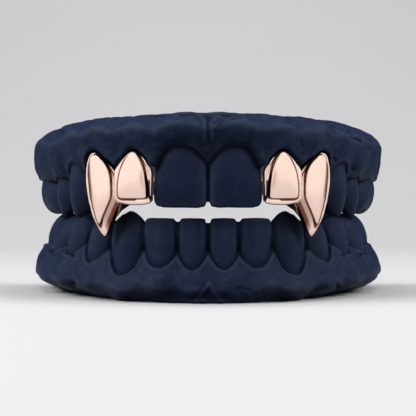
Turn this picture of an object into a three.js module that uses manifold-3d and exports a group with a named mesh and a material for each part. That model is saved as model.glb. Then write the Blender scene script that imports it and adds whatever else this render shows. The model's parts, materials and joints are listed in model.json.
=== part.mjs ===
// A pair of gold fang caps on a dental display cast, in millimetres, +Z up, front teeth towards -Y.
// Each double cap covers an upper lateral incisor and canine, and ends in a long fang.
import * as THREE from "three";
import Module from "manifold-3d";

const wasm = await Module();
wasm.setup();

// The tooth line of each jaw runs round the front of its teeth: half an ellipse, then a straight heel.
const UPPER_HALF_WIDTH = 31.7;
const UPPER_ARCH_DEPTH = 38;
const LOWER_ARCH_DEPTH = 36.5;
const OVERJET = 2.5; // how far the lower front teeth stand behind the upper ones
const SIDE_OVERJET = 0.9; // how far the lower back teeth stand inside the upper ones
const UPPER_TOOTH_ROW = 55.3; // along the tooth line, from the middle to behind the last molar
const LOWER_TOOTH_ROW = 53.4;
const HEEL = 5; // gum behind the last molar

// Heights, from the foot of the lower cast to the flat top of the upper one.
const LOWER_CAST_HEIGHT = 13.65; // foot to bite
const BITE_GAP = 0.3;
const UPPER_CAST_HEIGHT = 16.35; // bite to top

// The stone wall behind the tooth line.
const WALL = 13;
const GUM_BULGE = 1.3; // how far the upper gum stands in front of the tooth line
const BASE_INSET = 5; // how far behind the tooth line the flat base stops at most
const GUM_LIP = 0.35; // rim of gum in front of each tooth's neck
const GUM_DIP = 1; // how far the gum sinks in between two teeth
const CONTACT = 1.02; // neighbouring teeth press into each other by this share of their width

// The caps.
const FANG_CAP_HEIGHT = 13.8;
const LATERAL_CAP_HEIGHT = 8.6;
const CAP_FIT = 0.25; // air between the metal and the stone tooth inside it
const CAP_GUM_GAP = 0.3; // between the metal and the gum line or the next tooth
const PLATE_STAND = 1.2; // how far the plates stand in front of the tooth line
const CAP_TOP_BOW = 0.4; // how far a cap's gum end curves back from its fullest part
const FANG_TIP_BOW = 1;
const LATERAL_TIP_BOW = 0.5;
const CAPPED_SETBACK = 0.5; // how far a capped stone tooth is ground back from the tooth line

const CAP_FULLEST = 0.45; // where down a cap it stands out most
const SQUARENESS = 2.6; // power of a tooth's section: 2 is an ellipse, more is squarer
const CUSP = 0.14; // height of a cusp, as a share of the crown
const FESTOON = 2.4; // power of the gum line's arch round each tooth

const STONE = new THREE.MeshStandardMaterial({
  color: 0x1e2640,
  roughness: 0.75,
  metalness: 0,
});
const GOLD = new THREE.MeshStandardMaterial({
  color: 0xe6b9a2,
  roughness: 0.15,
  metalness: 1,
});

// Sections of a crown, from inside the gum (down < 0) over the gum line (0) to the edge (1). Width and
// depth are shares of the tooth's own, and back is how far the front lies behind the tooth line.
const CROWNS = {
  incisor: {
    sides: 12,
    taper: 0.35, // the tongue side is this much narrower
    cusps: () => 0,
    rows: [
      { down: -0.35, width: 0.62, depth: 0.8, back: 0.12 },
      { down: 0, width: 0.78, depth: 0.92, back: 0.04 },
      { down: 0.25, width: 0.92, depth: 0.9, back: 0 },
      { down: 0.5, width: 0.985, depth: 0.7, back: 0 },
      { down: 0.75, width: 1, depth: 0.45, back: 0.02 },
      { down: 0.93, width: 0.985, depth: 0.24, back: 0.06 },
      { down: 1, width: 0.9, depth: 0.13, back: 0.09 },
    ],
  },
  canine: {
    sides: 12,
    taper: 0.3,
    cusps: () => 0,
    rows: [
      { down: -0.3, width: 0.62, depth: 0.85, back: 0.1 },
      { down: 0, width: 0.84, depth: 0.95, back: 0.03 },
      { down: 0.3, width: 0.99, depth: 0.92, back: 0 },
      { down: 0.55, width: 1, depth: 0.75, back: 0 },
      { down: 0.78, width: 0.84, depth: 0.48, back: 0.04 },
      { down: 0.92, width: 0.5, depth: 0.27, back: 0.1 },
      { down: 1, width: 0.16, depth: 0.12, back: 0.15 },
    ],
  },
  premolar: {
    sides: 12,
    taper: 0.1,
    cusps: (angle) => Math.abs(Math.sin(angle)) ** 3,
    rows: [
      { down: -0.3, width: 0.7, depth: 0.8, back: 0.1 },
      { down: 0, width: 0.82, depth: 0.93, back: 0.03 },
      { down: 0.35, width: 0.95, depth: 1, back: 0 },
      { down: 0.65, width: 1, depth: 0.98, back: 0.01 },
      { down: 0.8, width: 0.95, depth: 0.9, back: 0.05, cusp: 0.3 },
      { down: 0.86, width: 0.7, depth: 0.62, back: 0.19, cusp: 1 },
      { down: 0.8, width: 0.34, depth: 0.26, back: 0.37, cusp: 0.25 },
    ],
  },
  molar: {
    sides: 16,
    taper: 0.05,
    cusps: (angle) => (1 - Math.cos(4 * angle)) / 2,
    rows: [
      { down: -0.3, width: 0.7, depth: 0.8, back: 0.1 },
      { down: 0, width: 0.84, depth: 0.93, back: 0.03 },
      { down: 0.35, width: 0.96, depth: 1, back: 0 },
      { down: 0.65, width: 1, depth: 0.98, back: 0.01 },
      { down: 0.8, width: 0.96, depth: 0.9, back: 0.05, cusp: 0.3 },
      { down: 0.86, width: 0.74, depth: 0.62, back: 0.19, cusp: 1 },
      { down: 0.8, width: 0.34, depth: 0.26, back: 0.37, cusp: 0.25 },
    ],
  },
};

// The teeth of one side, from the middle back. Widths are shares of the tooth row and depths of the wall.
// Edge, gum and papilla (the gum's point behind the tooth) are heights from the bite, as shares of the
// cast's height. For each millimetre down a crown leans out by its lean and forwards by its tip. Stand is
// how far a tooth stands out of the tooth line, as a share of the wall.
const UPPER_TEETH = [
  { kind: "incisor", width: 0.152, depth: 0.51, edge: 0.077, gum: 0.688, papilla: 0.437 },
  { kind: "incisor", width: 0.112, depth: 0.46, edge: 0.15, gum: 0.651, papilla: 0.45 },
  { kind: "canine", width: 0.13, depth: 0.46, edge: 0.1, gum: 0.654, papilla: 0.394 },
  { kind: "premolar", width: 0.134, depth: 0.7, edge: 0, gum: 0.517, papilla: 0.367, stand: 0.045 },
  { kind: "premolar", width: 0.117, depth: 0.68, edge: 0, gum: 0.419, papilla: 0.346, stand: -0.03 },
  { kind: "molar", width: 0.181, depth: 0.83, edge: 0, gum: 0.413, papilla: 0.343 },
  { kind: "molar", width: 0.174, depth: 0.81, edge: 0, gum: 0.401, papilla: 0.355 },
];
const LOWER_TEETH = [
  { kind: "incisor", width: 0.0955, depth: 0.45, edge: 0, gum: 0.619, papilla: 0.407 },
  { kind: "incisor", width: 0.1105, depth: 0.46, edge: 0, gum: 0.604, papilla: 0.392 },
  {
    kind: "canine",
    width: 0.139,
    depth: 0.58,
    edge: -0.08,
    gum: 0.707,
    papilla: 0.377,
    lean: -0.08,
    tip: 0.1,
  },
  { kind: "premolar", width: 0.133, depth: 0.62, edge: 0, gum: 0.538, papilla: 0.341, lean: -0.16 },
  { kind: "premolar", width: 0.133, depth: 0.65, edge: 0, gum: 0.476, papilla: 0.377, lean: -0.2 },
  { kind: "molar", width: 0.1985, depth: 0.79, edge: 0, gum: 0.451, papilla: 0.359, lean: -0.22 },
  { kind: "molar", width: 0.191, depth: 0.77, edge: 0, gum: 0.399, papilla: 0.359, lean: -0.2 },
];
const UPPER_MIDLINE_PAPILLA = 0.474;
const LOWER_MIDLINE_PAPILLA = 0.374;

// The gum's section, from the base round the front, over the crest to the tongue side. Up is the share of
// the way from the gum line to the base. Out sums shares of the sizes named, from the tooth line.
const GUM_FRONT = [
  { up: 1, inset: 1, bulge: 0, lip: 0 },
  { up: 0.85, inset: 0.25, bulge: 0.2, lip: 0 },
  { up: 0.6, inset: 0, bulge: 1, lip: 0 },
  { up: 0.3, inset: 0, bulge: 0.85, lip: 0.3 },
  { up: 0.07, inset: 0, bulge: 0.2, lip: 1 },
];
// The tongue side, the same way. Depth is a share of the tooth's and wall one of the wall's.
const GUM_BACK = [
  { up: 0, depth: 0.5, wall: 0 },
  { up: 0.04, depth: 0.93, wall: 0 },
  { up: 0.35, depth: 1.06, wall: 0 },
  { up: 0.85, depth: 0, wall: 1 },
  { up: 1, depth: 0, wall: 1 },
];
// Behind the last molar: share is of the heel, up of the way to the base and reach of the section's width.
const HEEL_SECTIONS = [
  { share: 0.55, up: 0.15, reach: 0.9 },
  { share: 1, up: 0.45, reach: 0.7 },
];
// How far the base is trimmed in and the gum bulges out along the tooth row, as shares of the sizes named.
const UPPER_TRIM = [
  { along: 0, inset: 0.04, bulge: 0.9 },
  { along: 0.2, inset: 0.55, bulge: 1 },
  { along: 0.45, inset: 0.88, bulge: 1 },
  { along: 0.75, inset: 1, bulge: 1 },
  { along: 1, inset: 0.44, bulge: 1 },
];
const LOWER_TRIM = [
  { along: 0, inset: -0.18, bulge: 0.5 },
  { along: 0.2, inset: 0.22, bulge: 0.55 },
  { along: 0.55, inset: 0.88, bulge: 0.75 },
  { along: 0.85, inset: 0.44, bulge: 1 },
];
// Sections of the gum along half a tooth's width each way.
const TOOTH_STATIONS = [-0.72, -0.3, 0.3, 0.72, 1];
const CAPPED_STATIONS = [-0.85, -0.6, -0.3, 0, 0.3, 0.6, 0.85, 1];

// A cap's outline as the front shows it, from the gum end (down 0) to the other (1). Distal and mesial are
// where its two sides lie, as shares of the tooth's place in the row.
const FANG_OUTLINE = {
  top: 0.215,
  end: [0.06],
  sides: [
    { down: 0.05, distal: 0.361, mesial: 0 },
    { down: 0.1, distal: 0.426, mesial: -0.139 },
    { down: 0.2, distal: 0.485, mesial: -0.306 },
    { down: 0.3, distal: 0.511, mesial: -0.444 },
    { down: 0.43, distal: 0.507, mesial: -0.486 },
    { down: 0.6, distal: 0.444, mesial: -0.472 },
    { down: 0.7, distal: 0.361, mesial: -0.375 },
    { down: 0.8, distal: 0.257, mesial: -0.243 },
    { down: 0.9, distal: 0.139, mesial: -0.132 },
    { down: 0.97, distal: 0.0625, mesial: -0.0556 },
  ],
};
const LATERAL_OUTLINE = {
  top: 0.109,
  end: [-0.28, 0.035, 0.406],
  sides: [
    { down: 0.057, distal: 0.261, mesial: -0.037 },
    { down: 0.1, distal: 0.326, mesial: -0.134 },
    { down: 0.2, distal: 0.447, mesial: -0.28 },
    { down: 0.3, distal: 0.511, mesial: -0.345 },
    { down: 0.4, distal: 0.551, mesial: -0.372 },
    { down: 0.7, distal: 0.551, mesial: -0.38 },
    { down: 0.93, distal: 0.535, mesial: -0.365 },
  ],
};
// Sections of a cap, front to back: its outline shrunk to shares of its width and height from a top inset.
// Stand is a share of the plate's stand in front of the tooth line, back one of the tooth's depth behind it.
// Shift moves a section back along the tooth line, in the same shares as the outline.
const FANG_SECTIONS = [
  { width: 0.46, top: 0.12, height: 0.62, stand: 1, back: 0 },
  { width: 0.66, top: 0.025, height: 0.84, stand: 0.83, back: 0 },
  { width: 0.69, top: 0.02, height: 0.865, stand: 0.54, back: 0 },
  { width: 1, top: 0, height: 1, stand: 0.33, back: 0 },
  { width: 0.98, top: 0, height: 0.95, stand: 0, back: 0.15 },
  { width: 0.92, top: 0.01, height: 0.72, stand: 0, back: 0.53 },
  { width: 0.86, top: 0.03, height: 0.62, stand: 0, back: 0.98 },
  { width: 0.55, top: 0.1, height: 0.48, stand: 0, back: 1.25 },
];
const LATERAL_SECTIONS = [
  { width: 0.56, top: 0.12, height: 0.64, stand: 1, back: 0 },
  { width: 0.76, top: 0.03, height: 0.84, stand: 0.83, back: 0 },
  { width: 0.79, top: 0.02, height: 0.865, stand: 0.54, back: 0 },
  { width: 1, top: 0, height: 1, stand: 0.33, back: 0 },
  { width: 0.96, top: 0, height: 0.99, stand: 0, back: 0.15, shift: 0.01 },
  { width: 0.86, top: 0.01, height: 0.93, stand: 0, back: 0.53, shift: 0.05 },
  { width: 0.8, top: 0.03, height: 0.78, stand: 0, back: 0.98, shift: 0.07 },
  { width: 0.5, top: 0.12, height: 0.55, stand: 0, back: 1.25, shift: 0.08 },
];

const FANG_CAP = {
  outline: FANG_OUTLINE,
  sections: FANG_SECTIONS,
  height: FANG_CAP_HEIGHT,
  tipBow: FANG_TIP_BOW,
  filled: 0.67, // how much of the cap's height the stone tooth inside fills
  slim: 0.7, // the stone tooth's width, as a share of its place in the row
  centre: 0.01, // where its middle lies, in the same shares as the outline
};
const LATERAL_CAP = {
  outline: LATERAL_OUTLINE,
  sections: LATERAL_SECTIONS,
  height: LATERAL_CAP_HEIGHT,
  tipBow: LATERAL_TIP_BOW,
  filled: 0.93,
  slim: 0.56,
  centre: 0.12,
};

const UPPER = {
  halfWidth: UPPER_HALF_WIDTH,
  archDepth: UPPER_ARCH_DEPTH,
  front: 0,
  row: UPPER_TOOTH_ROW,
  bite: LOWER_CAST_HEIGHT + BITE_GAP,
  up: 1,
  height: UPPER_CAST_HEIGHT,
  teeth: UPPER_TEETH,
  midline: UPPER_MIDLINE_PAPILLA,
  bulge: GUM_BULGE,
  trim: UPPER_TRIM,
};
const LOWER = {
  halfWidth: UPPER_HALF_WIDTH - SIDE_OVERJET,
  archDepth: LOWER_ARCH_DEPTH,
  front: OVERJET,
  row: LOWER_TOOTH_ROW,
  bite: LOWER_CAST_HEIGHT,
  up: -1,
  height: LOWER_CAST_HEIGHT,
  teeth: LOWER_TEETH,
  midline: LOWER_MIDLINE_PAPILLA,
  bulge: GUM_BULGE + SIDE_OVERJET, // flush with the upper gum at the sides
  trim: LOWER_TRIM,
};

// A place on a jaw's tooth line, a distance along it from the middle: where it is, the way back along it and
// the way out of the mouth. Side is 1 for the wearer's left and -1 for the right.
function place(jaw, along, side) {
  const curve = new THREE.EllipseCurve(
    0,
    jaw.front + jaw.archDepth,
    jaw.halfWidth,
    jaw.archDepth,
    -Math.PI / 2,
    0,
  );
  const curved = curve.getLength();
  const share = Math.min(along / curved, 1);
  const back = curve.getTangentAt(share);
  const at = curve.getPointAt(share).addScaledVector(back, Math.max(along - curved, 0));
  // The point `across` towards the back, `out` of the mouth and `height` from the bite.
  return (across, out, height) =>
    new THREE.Vector3(
      side * (at.x + across * back.x + out * back.y),
      at.y + across * back.y - out * back.x,
      jaw.bite + jaw.up * height,
    );
}

// A closed solid from points and triangles, turned to face outwards.
function solid(points, faces) {
  const vertProperties = new Float32Array(points.flatMap((p) => [p.x, p.y, p.z]));
  const make = (triVerts) => new wasm.Manifold(new wasm.Mesh({ numProp: 3, vertProperties, triVerts }));
  const made = make(new Uint32Array(faces.flat()));
  return made.volume() > 0 ? made : make(new Uint32Array(faces.flatMap(([a, b, c]) => [a, c, b])));
}

// A solid through rings of equally many points, whose two ends are closed over the same flat outline.
function loft(rings, outline) {
  const sides = outline.length;
  const last = (rings.length - 1) * sides;
  const faces = [];
  for (let ring = 0; ring < last; ring += sides)
    for (let i = 0; i < sides; i++) {
      const a = ring + i;
      const b = ring + ((i + 1) % sides);
      faces.push([a, b, b + sides], [a, b + sides, a + sides]);
    }
  const { area, triangulateShape } = THREE.ShapeUtils;
  for (const end of triangulateShape(outline, [])) {
    const alike = area(end.map((i) => outline[i])) * area(outline) > 0;
    const [a, b, c] = alike ? end : end.reverse();
    faces.push([a, c, b], [last + a, last + b, last + c]);
  }
  return solid(rings.flat(), faces);
}

const mix = THREE.MathUtils.lerp;

// Where the teeth of one side stand along the tooth line, with their sizes and the gum about them.
function toothRow(jaw) {
  let along = 0;
  let papilla = jaw.midline * jaw.height;
  return jaw.teeth.map((tooth) => {
    const width = tooth.width * jaw.row;
    const spot = {
      ...CROWNS[tooth.kind],
      kind: tooth.kind,
      width,
      middle: along + width / 2,
      depth: tooth.depth * WALL,
      edge: tooth.edge * jaw.height,
      gum: tooth.gum * jaw.height,
      papillae: [papilla, tooth.papilla * jaw.height],
      lean: tooth.lean ?? 0,
      tip: tooth.tip ?? 0,
      stand: (tooth.stand ?? 0) * WALL,
    };
    along += width;
    papilla = spot.papillae[1];
    return spot;
  });
}

// One tooth, made larger all round by grow where it is the hollow of a cap.
function crown(jaw, spot, side, grow = 0) {
  const at = place(jaw, spot.middle, side);
  const width = spot.width * CONTACT + 2 * grow;
  const depth = spot.depth + 2 * grow;
  const crownHeight = spot.gum - spot.edge;
  const angles = Array.from({ length: spot.sides }, (_, i) => (2 * Math.PI * i) / spot.sides);
  const section = angles.map((angle) => {
    const square = (x) => Math.sign(x) * Math.abs(x) ** (2 / SQUARENESS);
    return new THREE.Vector2(square(Math.cos(angle)), square(Math.sin(angle)));
  });
  const rings = spot.rows.map((row) =>
    section.map(({ x, y }, i) => {
      const narrowed = 1 - spot.taper * Math.max(-y, 0);
      const cusp = CUSP * (row.cusp ?? 0) * spot.cusps(angles[i]);
      const down = (row.down + cusp) * (crownHeight + grow);
      const across = (x * narrowed * row.width * width) / 2 - spot.tip * (down - crownHeight / 2);
      const behind = (row.back + (row.depth * (1 - y)) / 2) * depth;
      return at(across, grow + spot.stand - behind + spot.lean * down, spot.gum - down);
    }),
  );
  return loft(rings, section);
}

// The value of a column of a table of rows at x, read off straight lines between its rows.
function interpolate(rows, x, of, column) {
  const next = rows.findIndex((row) => row[of] > x);
  if (next === 0) return rows[0][column];
  if (next < 0) return rows.at(-1)[column];
  const [a, b] = [rows[next - 1], rows[next]];
  return mix(a[column], b[column], (x - a[of]) / (b[of] - a[of]));
}

// One section of the gum: its points out from the tooth line and up from the bite.
function gumSection(jaw, { along, gum, lip, depth, reach = 1 }) {
  const toBase = (up) => mix(gum, jaw.height, up);
  const bulge = jaw.bulge * interpolate(jaw.trim, along / jaw.row, "along", "bulge");
  const inset = BASE_INSET * interpolate(jaw.trim, along / jaw.row, "along", "inset");
  const front = GUM_FRONT.map((p) => [p.bulge * bulge + p.lip * lip - p.inset * inset, toBase(p.up)]);
  const neck = [lip - GUM_LIP, gum];
  const back = GUM_BACK.map((p) => [-p.depth * depth - p.wall * WALL, toBase(p.up)]);
  // Towards the end of the heel the section draws in to its middle.
  return [...front, neck, ...back].map(
    ([out, up]) => new THREE.Vector2(mix(-WALL / 2, out, reach), up),
  );
}

// How high the gum lies over a cap at a distance along the tooth line, or nothing where the cap isn't.
function capTopAt({ spot, cap }, along) {
  const { top, sides } = cap.outline;
  const across = (along - spot.middle) / spot.width;
  const distal = [{ down: 0, distal: top }, ...sides];
  const mesial = [{ down: 0, mesial: top }, ...sides].map((p) => ({ ...p, mesial: -p.mesial }));
  const widest = (rows, side) => Math.max(...rows.map((p) => p[side]));
  if (across > widest(distal, "distal") || -across > widest(mesial, "mesial")) return -Infinity;
  const down =
    across > top
      ? interpolate(distal, across, "distal", "down")
      : interpolate(mesial, -across, "mesial", "down");
  return spot.gum - down * cap.height;
}

// The gum of a whole jaw, festooned round its teeth, with its flat base.
function gum(jaw, row, covers = []) {
  const stations = [];
  row.forEach((spot, i) => {
    const near = (q) => row[i + Math.sign(q)] ?? spot;
    const covered = covers.some((cover) => cover.spot === spot);
    const across = covered ? CAPPED_STATIONS : TOOTH_STATIONS;
    for (const q of i === 0 ? [-1, ...across] : across) {
      const along = spot.middle + (q * spot.width) / 2;
      const papilla = spot.papillae[q < 0 ? 0 : 1];
      // The gum arches round a bare tooth, and follows the top of a cap.
      const arched = mix(spot.gum, papilla, Math.abs(q) ** FESTOON);
      const capTop = Math.max(...covers.map((cover) => capTopAt(cover, along)), papilla);
      const line = covered ? capTop : arched;
      const fall = (spot.gum - line) / (spot.gum - papilla);
      stations.push({
        along,
        gum: line,
        lip: mix(GUM_LIP, -GUM_DIP, fall),
        depth: mix(spot.depth, (spot.depth + near(q).depth) / 2, Math.abs(q)),
      });
    }
  });
  const end = stations.at(-1);
  for (const { share, up, reach } of HEEL_SECTIONS)
    stations.push({
      along: end.along + share * HEEL,
      gum: mix(end.gum, jaw.height, up),
      lip: 0,
      depth: end.depth,
      reach,
    });
  const sections = stations.map((station) => gumSection(jaw, station));
  const ring = (i, side) => {
    const at = place(jaw, stations[i].along, side);
    return sections[i].map((p) => at(0, p.x, p.y));
  };
  const left = stations.map((_, i) => ring(i, 1));
  const right = stations.map((_, i) => ring(i, -1)).slice(1); // both share the section at the middle
  return loft([...right.reverse(), ...left], sections.at(-1));
}

// One cap's outside. Grow makes it larger all round, to keep the stone clear of it.
function capShape(spot, cap, side, grow = 0) {
  const at = place(UPPER, spot.middle, side);
  const { top, sides, end } = cap.outline;
  const outline = [
    new THREE.Vector2(top, 0),
    ...sides.map((p) => new THREE.Vector2(p.mesial, p.down)),
    ...end.map((across) => new THREE.Vector2(across, 1)),
    ...sides.map((p) => new THREE.Vector2(p.distal, p.down)).reverse(),
  ];
  const rings = cap.sections.map((section) =>
    outline.map((p) => {
      const down = section.top + p.y * section.height;
      const fromFullest = (down - CAP_FULLEST) / (down < CAP_FULLEST ? CAP_FULLEST : 1 - CAP_FULLEST);
      const bow = (down < CAP_FULLEST ? CAP_TOP_BOW : cap.tipBow) * fromFullest ** 2;
      const across = (p.x * section.width + (section.shift ?? 0)) * spot.width + Math.sign(p.x) * grow;
      const out = section.stand * PLATE_STAND - section.back * spot.depth - bow;
      const height = spot.gum - CAP_GUM_GAP - down * cap.height + mix(grow, -grow, p.y);
      return at(across, out + (section.back > 0 ? -grow : grow), height);
    }),
  );
  return loft(rings, outline);
}

// The stone tooth inside a cap, ground slim.
function capped(spot, cap) {
  return {
    ...spot,
    width: spot.width * cap.slim,
    middle: spot.middle + spot.width * cap.centre,
    stand: -CAPPED_SETBACK,
    edge: spot.gum - cap.filled * cap.height,
  };
}

function mesh(name, body, material) {
  const { vertProperties, triVerts } = body.getMesh();
  const geometry = new THREE.BufferGeometry();
  geometry.setAttribute("position", new THREE.BufferAttribute(vertProperties, 3));
  geometry.setIndex(new THREE.BufferAttribute(triVerts, 1));
  geometry.computeVertexNormals();
  const made = new THREE.Mesh(geometry, material);
  made.name = name;
  return made;
}

const join = (bodies) => bodies.reduce((all, body) => all.add(body));

const upperRow = toothRow(UPPER);
const lowerRow = toothRow(LOWER);
const caps = [
  { spot: upperRow.findLast((spot) => spot.kind === "incisor"), cap: LATERAL_CAP },
  { spot: upperRow.find((spot) => spot.kind === "canine"), cap: FANG_CAP },
];
const bareTeeth = upperRow.filter((spot) => !caps.some((c) => c.spot === spot));

function doubleCap(side) {
  const outside = join(caps.map(({ spot, cap }) => capShape(spot, cap, side)));
  return caps.reduce(
    (metal, { spot, cap }) => metal.subtract(crown(UPPER, capped(spot, cap), side, CAP_FIT)),
    outside,
  );
}

function upperCast() {
  let cast = gum(UPPER, upperRow, caps);
  for (const side of [-1, 1]) for (const spot of bareTeeth) cast = cast.add(crown(UPPER, spot, side));
  for (const side of [-1, 1])
    for (const { spot, cap } of caps) cast = cast.subtract(capShape(spot, cap, side, CAP_GUM_GAP));
  for (const side of [-1, 1])
    for (const { spot, cap } of caps) cast = cast.add(crown(UPPER, capped(spot, cap), side));
  return cast;
}

function lowerCast() {
  const teeth = [-1, 1].flatMap((side) => lowerRow.map((spot) => crown(LOWER, spot, side)));
  return join([gum(LOWER, lowerRow), ...teeth]);
}

const jaws = new THREE.Group();
jaws.add(mesh("upper_cast", upperCast(), STONE));
jaws.add(mesh("lower_cast", lowerCast(), STONE));
jaws.add(mesh("right_double_cap", doubleCap(-1), GOLD));
jaws.add(mesh("left_double_cap", doubleCap(1), GOLD));

// The origin lies under the middle of the whole, on the surface that it stands on.
const bounds = new THREE.Box3().setFromObject(jaws);
jaws.position.y = -(bounds.min.y + bounds.max.y) / 2;
const group = new THREE.Group();
group.add(jaws);

export default group;
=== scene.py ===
# %% [markdown]
# A pair of gold fang caps on a dental display cast.
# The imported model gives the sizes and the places. Each of its four solids gets a finely shaped
# piece here: two stone casts, and a double cap of polished metal on each side.

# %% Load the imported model
import json
import math

import bmesh
import bpy
import numpy as np
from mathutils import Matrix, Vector, kdtree, noise
from mathutils.bvhtree import BVHTree

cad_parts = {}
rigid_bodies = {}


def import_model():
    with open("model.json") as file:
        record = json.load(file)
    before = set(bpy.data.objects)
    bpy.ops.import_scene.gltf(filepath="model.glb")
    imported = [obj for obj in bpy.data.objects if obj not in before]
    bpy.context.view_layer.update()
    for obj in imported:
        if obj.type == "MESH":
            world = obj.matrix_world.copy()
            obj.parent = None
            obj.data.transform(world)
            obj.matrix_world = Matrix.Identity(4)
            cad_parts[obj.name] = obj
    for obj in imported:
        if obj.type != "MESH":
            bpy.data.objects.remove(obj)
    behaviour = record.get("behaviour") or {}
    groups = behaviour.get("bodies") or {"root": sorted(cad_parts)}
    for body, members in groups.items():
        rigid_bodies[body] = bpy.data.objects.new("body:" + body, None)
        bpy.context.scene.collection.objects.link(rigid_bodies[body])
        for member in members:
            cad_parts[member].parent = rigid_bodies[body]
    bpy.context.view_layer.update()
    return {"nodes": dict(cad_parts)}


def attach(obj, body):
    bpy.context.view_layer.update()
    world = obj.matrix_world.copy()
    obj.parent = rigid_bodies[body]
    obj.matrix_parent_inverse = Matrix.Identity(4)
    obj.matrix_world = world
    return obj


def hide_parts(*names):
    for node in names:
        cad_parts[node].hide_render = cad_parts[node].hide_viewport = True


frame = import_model()
print("solids:", sorted(frame["nodes"]))

# %% [markdown]
# Helpers. An operator acts on all that is selected, so a piece is first picked alone. A modifier
# is applied as soon as it is set, which leaves each piece as a plain mesh.


# %% Small helpers for working as by hand
def pick(*objects):
    """Selects these objects alone, the first one active."""
    if bpy.context.mode != "OBJECT":
        bpy.ops.object.mode_set(mode="OBJECT")
    bpy.ops.object.select_all(action="DESELECT")
    for thing in objects:
        thing.select_set(True)
    bpy.context.view_layer.objects.active = objects[0]


def modify(thing, kind, **settings):
    """Adds a modifier, sets it and applies it."""
    pick(thing)
    modifier = thing.modifiers.new(kind.title(), kind)
    for name, value in settings.items():
        setattr(modifier, name, value)
    bpy.ops.object.modifier_apply(modifier=modifier.name)


def volume(thing):
    """The space in cubic metres inside a closed mesh, negative where its faces point inwards."""
    body = bmesh.new()
    body.from_mesh(thing.data)
    inside = body.calc_volume(signed=True)
    body.free()
    return inside


def triangles(thing):
    """How many triangles a mesh has."""
    return sum(len(face.vertices) - 2 for face in thing.data.polygons)


# %% [markdown]
# The tooth line. Teeth stand on an arch: half an ellipse seen from above, with a straight end
# behind it. Everything on the casts is placed by how far along that line it lies, how far out of
# the mouth, and how high above the bite. So one table of teeth can give both sides of a jaw.

# %% Sizes of the two jaws, in millimetres
MM = 0.001
ARCH_FRONT = -21.65  # where the upper tooth line crosses the middle
ARCH_HALF_WIDTH = 31.7
WALL = 13  # from the front of the teeth to the tongue side of the gum
HEEL = 5  # the gum behind the last tooth
GUM_BULGE = 1.3
SIDE_OVERJET = 0.9  # how far the upper row stands outside the lower one
BASE_INSET = 5
CONTACT = 1.02  # a tooth is so much wider than its place, so that neighbours touch
FESTOON = 2.4  # how sharply the gum's edge dips between two teeth
LINE_POINTS = 600
LINE_TAIL = 60
LINE_STEP = 0.05


def jaw_sizes(half_width, arch_depth, front, **sizes):
    """One jaw's sizes, with its tooth line as a table of points and lengths."""
    turn = np.linspace(0, math.pi / 2, LINE_POINTS)
    x = np.append(half_width * np.sin(turn), half_width)
    y = front + arch_depth * (1 - np.cos(turn))
    y = np.append(y, y[-1] + LINE_TAIL)
    length = np.append(0, np.cumsum(np.hypot(np.diff(x), np.diff(y))))
    return dict(sizes, x=x, y=y, length=length)


# %% [markdown]
# Each tooth is one row of a table. Its columns are the kind, the width as a share of the row, the
# depth as a share of the wall, the heights of its edge, of its gum line and of the papilla behind
# it as shares of the cast, how far it leans out and how far it tips sideways for each millimetre
# down, how far it stands out as a share of the wall, and how much wider than its place it is on
# the side away from the middle, in millimetres. The trim tells how the base was cut: how far along
# the row, the share of the base's inset there, and the share of the gum's bulge.

# %% The two jaws
UPPER = jaw_sizes(
    half_width=ARCH_HALF_WIDTH, arch_depth=38, front=0,
    row=55.3, bite=13.95, up=1, height=16.35, bulge=GUM_BULGE, midline=0.474,
    teeth=[
        ("central", 0.152, 0.51, 0.077, 0.688, 0.437, 0, 0, 0, 0.6),
        ("lateral", 0.112, 0.46, 0.15, 0.651, 0.45, 0, 0, 0, 0),
        ("canine", 0.13, 0.46, 0.1, 0.654, 0.394, 0, 0, 0, 0),
        ("premolar", 0.134, 0.7, 0, 0.517, 0.367, 0, 0, 0.045, 0),
        ("premolar", 0.117, 0.68, 0, 0.419, 0.346, 0, 0, -0.03, 0),
        ("molar", 0.181, 0.83, 0, 0.413, 0.343, 0, 0, 0, 0),
        ("molar", 0.174, 0.81, 0, 0.401, 0.355, 0, 0, 0, 0),
    ],
    trim=[(0, 0.04, 0.9), (0.2, 0.55, 1), (0.45, 0.92, 0.95), (0.75, 1.1, 0.85), (1, 0.5, 0.8)],
)
LOWER = jaw_sizes(
    half_width=ARCH_HALF_WIDTH - SIDE_OVERJET, arch_depth=36.5, front=2.5,
    row=53.4, bite=13.65, up=-1, height=13.65, bulge=GUM_BULGE + SIDE_OVERJET, midline=0.374,
    teeth=[
        ("incisor", 0.0955, 0.45, 0, 0.619, 0.407, 0, 0, 0, 0),
        ("incisor", 0.1105, 0.46, 0, 0.604, 0.392, 0, 0, 0, 0),
        ("lower_canine", 0.139, 0.58, -0.08, 0.707, 0.377, -0.05, 0.06, 0, 0.1),
        ("premolar", 0.133, 0.62, -0.02, 0.538, 0.341, -0.16, 0, 0, 0),
        ("premolar", 0.133, 0.65, -0.05, 0.476, 0.377, -0.2, 0, 0, 0),
        ("molar", 0.1985, 0.79, -0.06, 0.451, 0.359, -0.22, 0, 0, 0),
        ("molar", 0.191, 0.77, -0.06, 0.399, 0.359, -0.2, 0, 0, 0),
    ],
    trim=[(0, -0.18, 0.5), (0.2, 0.22, 0.55), (0.55, 0.95, 0.75), (0.85, 0.62, 0.9)],
)


def place(jaw, along, side, across, out, height):
    """The point in metres that lies so far across, out and up from a place on the tooth line."""
    here, ahead = (
        np.array([np.interp(at, jaw["length"], jaw[axis]) for axis in ("x", "y")])
        for at in (along, along + LINE_STEP)
    )
    back = ahead - here
    back = back / np.hypot(*back)
    x = side * (here[0] + across * back[0] + out * back[1])
    y = here[1] + across * back[1] - out * back[0] + ARCH_FRONT
    z = jaw["bite"] + jaw["up"] * height
    return np.stack(np.broadcast_arrays(x, y, z), axis=-1) * MM


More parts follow.
